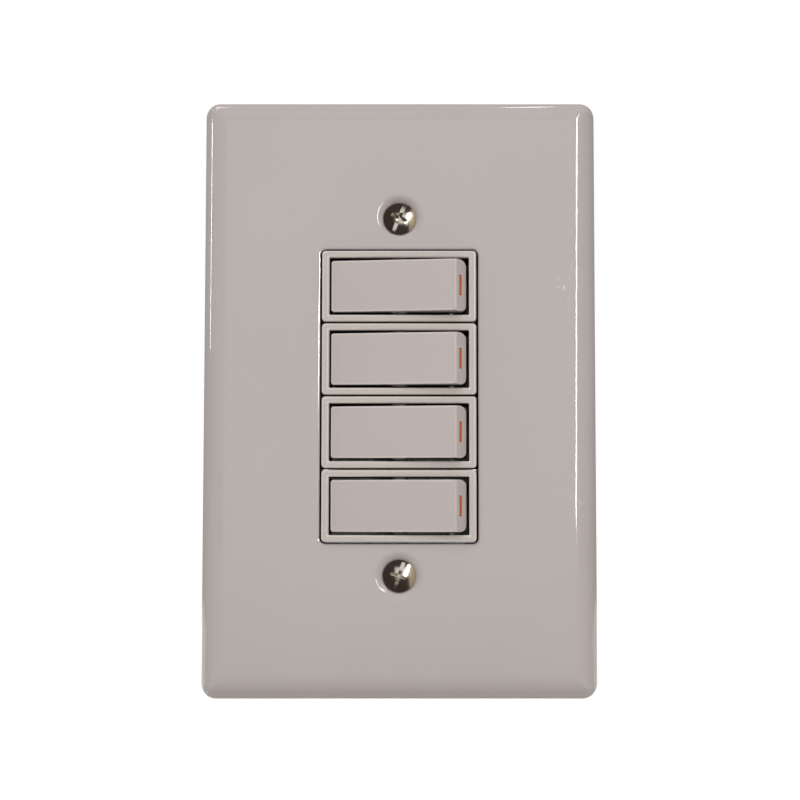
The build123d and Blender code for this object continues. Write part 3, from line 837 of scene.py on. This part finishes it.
@dataclass
class WallPlate:
    """The moulded cover: a shallow pan with a window and two dished screw holes."""

    width: float = 79.0
    height: float = 120.0
    depth: float = 7.0
    wall: float = 2.2
    draft: float = 6.0
    edge: float = 5.2
    rim_round: float = 0.2
    rim_corner: float = 3.3
    least_corner: float = 0.3
    inner_edge: float = 2.0
    floor_start: float = 7.5
    face_start: float = 8.6
    section_steps: int = 28
    corner_steps: int = 14
    side_steps: int = 24
    window_width: float = 31.1
    window_height: float = 58.05
    window_corner: float = 1.2
    window_edge: float = 0.34
    window_slope: float = 17.0
    window_margin: float = 0.95
    window_rounds: tuple[float, float] = (0.3, 0.12)
    window_section_steps: int = 8
    window_corner_steps: int = 10
    window_side_steps: int = 18
    lip_wall: float = 1.2
    lip_depth: float = 3.2
    lip_round: float = 0.15
    lip_foot: float = 0.1
    back_margin: float = 0.3
    dish_radius: float = 4.11
    dish_edge: float = 2.0
    dish_reach: float = 5.15
    dish_steps: int = 12
    dish_columns: int = 96
    hole_radius: float = 2.0
    hole_depth: float = 4.89
    hole_round: float = 0.1
    boss_radius: float = 3.9
    boss_depth: float = 3.5
    boss_round: float = 0.15

    def outside(self) -> np.ndarray:
        """The pan's section carried round its rim, from the hollow's floor over the rim to the face.

        A point of the section lies an inset from the rim, and its loop is the rim's rounded rectangle
        drawn in by that inset, with corners that shrink by the inset down to a least radius.

        Returns:
            Loops by points by (x, y, z).
        """
        inside = self.depth - self.wall
        lean = tan(radians(self.draft))
        corners = np.array([
            [self.floor_start, -inside],
            [self.wall + inside * lean, -inside],
            [self.wall, 0.0],
            [0.0, 0.0],
            [self.depth * lean, -self.depth],
            [self.face_start, -self.depth],
        ])
        rounds = [self.inner_edge, self.rim_round, self.rim_round, self.edge]
        section = rounded_profile(corners, rounds, self.section_steps)
        inset = section[:, 0]
        loops = rounded_loops(
            self.width / 2.0 - inset,
            self.height / 2.0 - inset,
            np.maximum(self.rim_corner - inset, self.least_corner),
            self.corner_steps,
            self.side_steps,
        )
        return lifted(loops, section[:, 1])

    def window(self) -> np.ndarray:
        """The window's edge and the lip behind it, carried round the window.

        A point of the section lies an outset from the window's edge, and its loop is the window's rounded
        rectangle let out by that outset.

        Returns:
            Loops by points by (x, y, z).
        """
        inside = self.depth - self.wall
        corners = np.array([
            [self.window_margin, -self.depth],
            [self.window_edge, -self.depth],
            [0.0, -self.depth + self.window_edge * tan(radians(self.window_slope))],
            [0.0, -self.lip_depth],
            [self.lip_wall, -self.lip_depth],
            [self.lip_wall, -inside],
            [self.lip_wall + self.back_margin, -inside],
        ])
        rounds = [*self.window_rounds, self.lip_round, self.lip_round, self.lip_foot]
        section = rounded_profile(corners, rounds, self.window_section_steps)
        outset = section[:, 0]
        loops = rounded_loops(
            self.window_width / 2.0 + outset,
            self.window_height / 2.0 + outset,
            self.window_corner + outset,
            self.window_corner_steps,
            self.window_side_steps,
        )
        return lifted(loops, section[:, 1])

    def dish(self, height: float) -> np.ndarray:
        """A screw's dish, its hole and the boss behind it, turned about the hole's axis.

        Args:
            height: The hole's height on the plate.

        Returns:
            Loops by points by (x, y, z).
        """
        inside = self.depth - self.wall
        corners = np.array([
            [self.dish_reach, -self.depth],
            [self.dish_radius, -self.depth],
            [self.hole_radius, -self.hole_depth],
            [self.hole_radius, -self.boss_depth],
            [self.boss_radius, -self.boss_depth],
            [self.boss_radius, -inside],
            [self.boss_radius + self.back_margin, -inside],
        ])
        rounds = [self.dish_edge, self.hole_round, self.hole_round, self.boss_round, self.boss_round]
        section = rounded_profile(corners, rounds, self.dish_steps)
        return circles(section[:, 0], section[:, 1], self.dish_columns) + np.array([0.0, 0.0, height])

    def build(self) -> bpy.types.Object:
        """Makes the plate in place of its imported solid.

        Returns:
            The plate.
        """
        shell = Shell()
        hollow, face = shell.band(self.outside())
        ends = [shell.band(self.window())]
        ends += [shell.band(self.dish(height)) for height in (SCREW_HEIGHT, -SCREW_HEIGHT)]
        front = [face] + [first for first, _ in ends]
        back = [hollow] + [last for _, last in ends]
        mesh = shell.mesh("plate_cover", [front, back])
        plate = piece(mesh, Finish.plate_plastic.value.material("plate_plastic"), "housing")
        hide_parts("wall_plate")
        return plate


@dataclass
class PlateScrews:
    """The two oval-headed screws, each with a slot across a cross recess."""

    places: tuple[float, float] = (SCREW_HEIGHT, -SCREW_HEIGHT)
    leans: tuple[float, float] = (24.8, 19.0)
    head_radius: float = 3.25
    rim_depth: float = 6.411
    dome: float = 0.9
    dome_inset: float = 0.12
    dome_rows: int = 26
    head_rounds: Triple = (0.08, 0.07, 0.3)
    round_steps: int = 5
    seat_depth: float = 6.211
    neck_depth: float = 4.661
    neck_length: float = 0.5
    shank_radius: float = 1.7
    shank_end: float = 4.0
    shank_rows: int = 110
    columns: int = 96
    core_radius: float = 1.38
    pitch: float = 0.6
    thread_slope: float = 1.25
    thread_start: float = 1.0
    thread_rise: float = 0.5
    tip_length: float = 0.35
    tip_inset: float = 0.15
    slot_width: float = 0.75
    slot_depth: float = 0.68
    slot_draft: float = 0.02
    slot_overrun: float = 1.0
    cross_span: float = 3.9
    cross_depth: float = 1.45
    cross_draft: float = 0.12
    cross_taper: float = 1.6
    cutter_corner: float = 0.06
    cutter_corner_steps: int = 3
    cutter_side_steps: int = 2
    sharp: float = 32.0

    def turned_rows(self) -> tuple[np.ndarray, np.ndarray, np.ndarray]:
        """The screw's section from the middle of its dome to the middle of its end.

        The dome is part of a circle through the head's rim, the cone runs straight to the neck, and the
        shank is divided evenly so that its thread has enough rows.

        Returns:
            Radii, depths, and how much of the thread each row carries.
        """
        start = self.neck_length - self.neck_depth
        ball = (self.head_radius**2 + self.dome**2) / (2.0 * self.dome)
        across = np.linspace(0.0, self.head_radius - self.dome_inset, self.dome_rows)
        top = -(self.rim_depth + self.dome) + ball - np.sqrt(ball**2 - across**2)
        corners = np.array([
            [across[-1], top[-1]],
            [self.head_radius, -self.rim_depth],
            [self.head_radius, -self.seat_depth],
            [self.shank_radius, -self.neck_depth],
            [self.shank_radius, start],
        ])
        head = rounded_profile(corners, [*self.head_rounds], self.round_steps)
        depth = np.linspace(start, self.shank_end - self.tip_length, self.shank_rows)
        shank = np.stack([np.full_like(depth, self.shank_radius), depth], axis=-1)
        tip = np.array([[self.core_radius - self.tip_inset, self.shank_end], [0.0, self.shank_end]])
        rows = np.concatenate([np.stack([across, top], axis=-1), head[1:-1], shank, tip])
        cut = np.zeros(len(rows))
        threaded = slice(-len(shank) - len(tip), -len(tip))
        cut[threaded] = np.clip((depth + self.neck_depth - self.thread_start) / self.thread_rise, 0.0, 1.0)
        return rows[:, 0], rows[:, 1], cut

    def blank(self) -> bpy.types.Mesh:
        """The screw without its recess.

        On the shank the radius goes from crest to root and back once in each pitch, as a triangle wave of
        the depth less the share of a turn, which is steepened and held at the root.

        Returns:
            The mesh, with its head towards the room.
        """
        radius, depth, cut = self.turned_rows()
        turn = np.linspace(0.0, 2.0 * pi, self.columns, endpoint=False)
        phase = depth[:, None] / self.pitch - turn[None, :] / (2.0 * pi)
        wave = np.abs(2.0 * (phase - np.floor(phase)) - 1.0)
        sunk = cut[:, None] * np.clip(self.thread_slope * wave, 0.0, 1.0)
        reach = radius[:, None] - (self.shank_radius - self.core_radius) * sunk
        y = np.broadcast_to(depth[:, None], reach.shape)
        shell = Shell()
        shell.band(np.stack([reach * np.cos(turn), y, reach * np.sin(turn)], axis=-1))
        return shell.mesh("screw_blank", [])

    def cutter(
        self, half_x: float, half_z: float, depth: float, draft_x: float, draft_z: float
    ) -> bpy.types.Mesh:
        """A tapered block that cuts one arm of the recess.

        Args:
            half_x: Half its width at the dome's top.
            half_z: Half its length there.
            depth: How deep it reaches below the dome's top.
            draft_x: How far its sides draw in at the floor.
            draft_z: How far its ends draw in there.

        Returns:
            The mesh.
        """
        crown = -(self.rim_depth + self.dome)
        half = np.array([half_x + draft_x, half_x - draft_x])
        long = np.array([half_z + draft_z, half_z - draft_z])
        corner = np.full(2, self.cutter_corner)
        loops = rounded_loops(half, long, corner, self.cutter_corner_steps, self.cutter_side_steps)
        shell = Shell()
        first, last = shell.band(lifted(loops, np.array([crown - depth, crown + depth])))
        return shell.mesh("recess_cutter", [[first], [last]])

    def recessed(self) -> bpy.types.Mesh:
        """The screw with its recess cut by three tapered blocks.

        Returns:
            The mesh.
        """
        side, end = self.slot_width / 2.0, self.cross_span / 2.0
        arms = [
            (side, self.head_radius + self.slot_overrun, self.slot_depth, self.slot_draft, 0.0),
            (side, end, self.cross_depth, self.cross_draft, self.cross_taper),
            (end, side, self.cross_depth, self.cross_taper, self.cross_draft),
        ]
        blank = bpy.data.objects.new("screw_blank", self.blank())
        bpy.context.scene.collection.objects.link(blank)
        tools = []
        for arm in arms:
            tool = bpy.data.objects.new("recess_cutter", self.cutter(*arm))
            bpy.context.scene.collection.objects.link(tool)
            cut = blank.modifiers.new("recess", "BOOLEAN")
            cut.operation = "DIFFERENCE"
            cut.solver = "EXACT"
            cut.object = tool
            tools.append(tool)
        graph = bpy.context.evaluated_depsgraph_get()
        mesh = bpy.data.meshes.new_from_object(blank.evaluated_get(graph))
        for obj in (blank, *tools):
            bpy.data.objects.remove(obj)
        return mesh

    def build(self) -> bpy.types.Object:
        """Makes both screws, each turned to the lean of its slot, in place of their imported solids.

        Returns:
            The screws.
        """
        one = self.recessed()
        points = np.empty(len(one.vertices) * 3, dtype=np.float32)
        one.vertices.foreach_get("co", points)
        points = points.reshape(-1, 3).astype(float)
        joined = bmesh.new()
        for place, lean in zip(self.places, self.leans):
            angle = radians(lean)
            turned = np.stack([
                cos(angle) * points[:, 0] + sin(angle) * points[:, 2],
                points[:, 1],
                cos(angle) * points[:, 2] - sin(angle) * points[:, 0] + place * MM,
            ], axis=-1)
            copy = one.copy()
            copy.vertices.foreach_set("co", turned.astype(np.float32).ravel())
            joined.from_mesh(copy)
            bpy.data.meshes.remove(copy)
        mesh = bpy.data.meshes.new("cover_screws")
        joined.to_mesh(mesh)
        joined.free()
        smooth_over(mesh, self.sharp)
        screws = piece(mesh, Finish.screw_nickel.value.material("cover_screw_nickel"), "housing")
        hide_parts("plate_screws")
        return screws


@dataclass
class PaintMarks:
    """The painted mark in the groove on each rocker's bevelled end."""

    half_length: float = 2.03
    half_width: float = 0.43
    thickness: float = 0.24
    rim_share: float = 0.55
    crown_share: float = 0.45
    crown_power: int = 4
    roundness: float = 0.98
    least_share: float = 0.02
    top_rows: int = 9
    end_steps: int = 8
    side_steps: int = 4
    sharp: float = 60.0
    floor: float = 0.25
    sunk: float = 0.004
    centre: tuple[float, float] = (12.197, -7.325)
    slope: tuple[float, float] = (1.76, 2.5)
    pivot_depth: float = 5.8
    tilt: float = -5.0

    def loops(self, height: float) -> np.ndarray:
        """A pad with rounded ends and a slightly crowned top, lying in the groove of a tilted rocker.

        Its loops are rounded rectangles drawn in towards the middle by a share. The floor's loops lie on the
        groove's floor, and the top's rise from the rim by one less the fourth power of their share. The pad
        is then turned to the bevel and swung with the rocker about its pivot.

        Args:
            height: The rocker's height on the plate.

        Returns:
            Loops by points by (x, y, z).
        """
        top = np.linspace(1.0, self.least_share, self.top_rows)
        share = np.concatenate([[self.least_share, 1.0], top])
        crown = self.rim_share + self.crown_share * (1.0 - top**self.crown_power)
        rise = np.concatenate([[0.0, 0.0], self.thickness * crown])
        across = self.half_width * share
        along = self.half_length - self.half_width * (1.0 - share)
        flat = rounded_loops(across, along, across * self.roundness, self.end_steps, self.side_steps)
        run = np.array(self.slope) / np.hypot(*self.slope)
        out = np.array([run[1], -run[0]])
        start = np.array(self.centre) - out * (self.floor - self.sunk)
        bevel = start + flat[..., :1] * run + rise[:, None, None] * out
        angle = radians(self.tilt)
        x, y = bevel[..., 0], bevel[..., 1] + self.pivot_depth
        return np.stack([
            cos(angle) * x - sin(angle) * y,
            sin(angle) * x + cos(angle) * y - self.pivot_depth,
            flat[..., 1] + height,
        ], axis=-1)

    def build(self) -> list[bpy.types.Object]:
        """Makes one mark for each rocker.

        Returns:
            The marks.
        """
        finish = Finish.mark_paint.value.material("mark_paint")
        marks = []
        for gang in range(1, GANGS + 1):
            low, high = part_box(f"rocker_{gang}")
            shell = Shell()
            first, last = shell.band(self.loops((low[2] + high[2]) / 2.0 / MM))
            mesh = shell.mesh(f"paint_mark_{gang}", [[first], [last]], self.sharp)
            marks.append(piece(mesh, finish, f"rocker_{gang}"))
        return marks


class CarriedOver:
    """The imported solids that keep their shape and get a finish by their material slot."""

    def __init__(self, frame: dict, replaced: set[str]) -> None:
        """Keeps what dress needs.

        Args:
            replaced: Nodes that a finer piece stands for.
        """
        self.nodes = frame["nodes"]
        self.slots = {row["node"]: row["material_slot"] for row in frame["record"]["subparts"]}
        self.replaced = replaced

    def dress(self) -> None:
        """Gives every shown solid the finish of its slot."""
        made: dict[str, bpy.types.Material] = {}
        for name, obj in self.nodes.items():
            if name in self.replaced:
                continue
            slot = self.slots[name]
            if slot not in made:
                made[slot] = Finish[slot].value.material(slot + "_kept")
            obj.data.materials.clear()
            obj.data.materials.append(made[slot])
            LOG.info("%s: %s", name, slot)


class Shows(Enum):
    """Where a lamp shows: in the light on a surface, or in its reflections."""

    LIGHT = (True, False)
    MIRROR = (False, True)


@dataclass
class AreaLamp:
    """A rectangular lamp aimed at the middle of the plate."""

    name: str
    shows: Shows
    azimuth: float
    elevation: float
    distance: float
    width: float
    height: float
    power: float
    roll: float = 0.0

    def build(self) -> bpy.types.Object:
        """Hangs the lamp at its azimuth right of the room's axis, its elevation and its roll, in degrees.

        Returns:
            The lamp.
        """
        across, up = radians(self.azimuth), radians(self.elevation)
        toward = Vector((sin(across) * cos(up), -cos(across) * cos(up), sin(up)))
        light = bpy.data.lights.new(self.name, "AREA")
        light.shape = "RECTANGLE"
        light.size = self.width
        light.size_y = self.height
        light.energy = self.power
        lamp = bpy.data.objects.new(self.name, light)
        lamp.location = toward * self.distance
        roll = Quaternion((0.0, 0.0, 1.0), radians(self.roll))
        lamp.rotation_euler = ((-toward).to_track_quat("-Z", "Y") @ roll).to_euler()
        lamp.visible_diffuse, lamp.visible_glossy = self.shows.value
        bpy.context.scene.collection.objects.link(lamp)
        return lamp


@dataclass
class Studio:
    """The room: white behind the object, soft light, a pale floor and the camera.

    Where light and walls start and end is given along a direction's x, y or z, from -1 to 1, and the third
    number of the pale wall's two spans is the width of their fade.
    """

    light_below: float = 0.31
    light_above: float = 0.76
    light_behind: float = 0.15
    front_end: Span = (-0.30, 0.30)
    warm_end: Span = (-0.8, 0.1)
    dark_room: Colour = (0.046, 0.032, 0.031)
    tan_wall: Colour = (0.52, 0.41, 0.29)
    pale_wall: Colour = (0.86, 0.84, 0.81)
    side_wall: Colour = (0.37, 0.33, 0.31)
    low_wall: Colour = (0.50, 0.44, 0.37)
    pale_across: Triple = (-0.20, 0.42, 0.12)
    pale_up: Triple = (-0.04, 0.42, 0.14)
    tan_start: Span = (0.52, 0.62)
    low_end: Span = (-0.45, -0.15)
    room_end: Span = (-0.05, 0.4)
    white_start: Span = (0.84, 0.97)
    warm: Colour = (1.0, 0.90, 0.76)
    white: Colour = (1.0, 1.0, 1.0)
    floor_tone: float = 0.9
    floor_roughness: float = 0.9
    floor_glow: float = 0.75
    floor_drop: float = 0.30
    floor_half: float = 2.5
    floor_start: float = 0.45
    clip_start: float = 0.01
    lens: float = 47.9
    sensor: float = 36.0
    standoff: float = 0.215
    pitch: float = 2.58
    shift_x: float = -0.0378
    shift_y: float = 0.084
    centre_below: float = -0.0005
    lamps: list[AreaLamp] = field(default_factory=lambda: [
        AreaLamp("key_upper_left", Shows.LIGHT, -32.0, 50.0, 0.9, 0.45, 0.45, 2.4),
        AreaLamp("fill_right", Shows.LIGHT, 31.0, 10.0, 1.0, 0.3, 0.5, 2.55),
        AreaLamp("fill_left", Shows.LIGHT, -82.0, 0.0, 1.0, 0.4, 0.6, 1.35),
        AreaLamp("fill_below", Shows.LIGHT, 0.0, -80.0, 0.9, 0.6, 0.6, 1.9),
        AreaLamp("fill_behind", Shows.LIGHT, 180.0, 12.0, 1.2, 0.8, 0.8, 6.0),
        AreaLamp("window_right", Shows.MIRROR, 30.5, 16.0, 1.0, 0.06, 0.735, 5.5, -30.0),
        AreaLamp("strip_left", Shows.MIRROR, -90.0, 16.2, 1.0, 0.05, 0.254, 0.74),
        AreaLamp("spot_above", Shows.MIRROR, 155.0, 75.0, 0.9, 0.018, 0.10, 0.08),
        AreaLamp("spot_above_left", Shows.MIRROR, -113.9, 70.2, 0.91, 0.165, 0.30, 0.51, -72.0),
        AreaLamp("spot_below_left", Shows.MIRROR, -111.0, -42.0, 0.4, 0.03, 0.03, 0.05),
    ])

    def world(self) -> None:
        """A white backdrop, soft light from above and in front, and the room that reflections see.

        What lights the object grows evenly from straight down to straight up, is warmer from below and
        weaker from behind. The camera sees white all round. A reflection sees the white straight behind
        the object, dim walls beside and below it, and in front of it a dark room with a pale wall round
        the camera and to its right, and a tan one beyond that.
        """
        world = bpy.data.worlds.new("studio")
        world.use_nodes = True
        board = NodeBoard(world.node_tree)
        aim = board.nodes.new("ShaderNodeTexCoord").outputs["Generated"]
        axes = board.put("ShaderNodeSeparateXYZ", Vector=aim).outputs
        upward = board.remap(axes["Z"], -1.0, 1.0, self.light_below, self.light_above)
        forward = board.remap(axes["Y"], *self.front_end, 1.0, self.light_behind)
        tint = board.blend(board.remap(axes["Z"], *self.warm_end, 0.0, 1.0), self.warm, self.white)
        strength = board.math("MULTIPLY", upward, forward)
        light = board.put("ShaderNodeBackground", Color=tint, Strength=strength)
        across = board.within(axes["X"], *self.pale_across)
        pale = board.math("MULTIPLY", across, board.within(axes["Z"], *self.pale_up))
        right = board.remap(axes["X"], *self.tan_start, 0.0, 1.0)
        room = board.blend(right, self.dark_room, self.tan_wall)
        room = board.blend(pale, room, self.pale_wall)
        raised = board.remap(axes["Z"], *self.low_end, 0.0, 1.0)
        beside = board.blend(raised, self.low_wall, self.side_wall)
        room = board.blend(board.remap(axes["Y"], *self.room_end, 0.0, 1.0), room, beside)
        room = board.blend(board.remap(axes["Y"], *self.white_start, 0.0, 1.0), room, self.white)
        camera = board.nodes.new("ShaderNodeLightPath").outputs["Is Camera Ray"]
        shown = board.put("ShaderNodeBackground", Color=board.blend(camera, room, self.white))
        surface = board.either(board.seen_rays(), light.outputs["Background"], shown.outputs["Background"])
        board.links.new(surface, board.nodes.new("ShaderNodeOutputWorld").inputs["Surface"])
        bpy.context.scene.world = world

    def floor(self) -> bpy.types.Object:
        """A pale floor below and behind the object, raised to white for the camera and for reflections.

        Returns:
            The floor.
        """
        half, front = self.floor_half, self.floor_start
        corners = np.array([[-half, front], [half, front], [half, half], [-half, half]])
        points = np.concatenate([corners, np.full((4, 1), -self.floor_drop)], axis=1)
        mesh = bpy.data.meshes.new("studio_floor")
        mesh.from_pydata(points, [], [(0, 1, 2, 3)])
        board = FinishBoard("studio_floor")
        pale = tinted(self.white, self.floor_tone)
        board.shade(Base_Color=(*pale, 1.0), Roughness=self.floor_roughness)
        glow = board.put("ShaderNodeEmission", Color=(*self.white, 1.0), Strength=self.floor_glow)
        both = board.nodes.new("ShaderNodeAddShader")
        board.links.new(board.shader.outputs["BSDF"], both.inputs[0])
        board.links.new(glow.outputs["Emission"], both.inputs[1])
        surface = board.either(board.seen_rays(), board.shader.outputs["BSDF"], both.outputs["Shader"])
        board.links.new(surface, board.output.inputs["Surface"])
        mesh.materials.append(board.material)
        floor = bpy.data.objects.new("studio_floor", mesh)
        bpy.context.scene.collection.objects.link(floor)
        return floor

    def camera(self) -> bpy.types.Object:
        """The camera before the plate, a little to its right and below, looking slightly up.

        Its place is where the middle of the plate's rim falls on the middle of the frame, or a small share
        of the frame below it: sideways by the shift's share of the view, and down by the tangent of the
        pitch and the upward shift together.

        Returns:
            The camera.
        """
        data = bpy.data.cameras.new("portrait")
        data.lens = self.lens
        data.sensor_width = self.sensor
        data.shift_x = self.shift_x
        data.shift_y = self.shift_y
        data.clip_start = self.clip_start
        reach = self.sensor / self.lens
        upward = radians(self.pitch) + atan((self.shift_y - self.centre_below) * reach)
        camera = bpy.data.objects.new("portrait", data)
        camera.location = (
            -self.shift_x * reach * self.standoff,
            -self.standoff,
            -self.standoff * tan(upward),
        )
        camera.rotation_euler = (radians(90.0 + self.pitch), 0.0, 0.0)
        bpy.context.scene.collection.objects.link(camera)
        bpy.context.scene.camera = camera
        return camera

    def build(self) -> None:
        """Sets the world, floor, lamps and camera, with colours shown as they are."""
        self.world()
        self.floor()
        for lamp in self.lamps:
            lamp.build()
        self.camera()
        bpy.context.scene.view_settings.view_transform = "Standard"


def main() -> None:
    """Builds the dressed switch and its studio in order."""
    logging.basicConfig(level=logging.INFO, format="%(name)s %(message)s")
    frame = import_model()
    WallPlate().build()
    PlateScrews().build()
    PaintMarks().build()
    CarriedOver(frame, {"wall_plate", "plate_screws"}).dress()
    Studio().build()


if __name__ == "__main__":
    main()
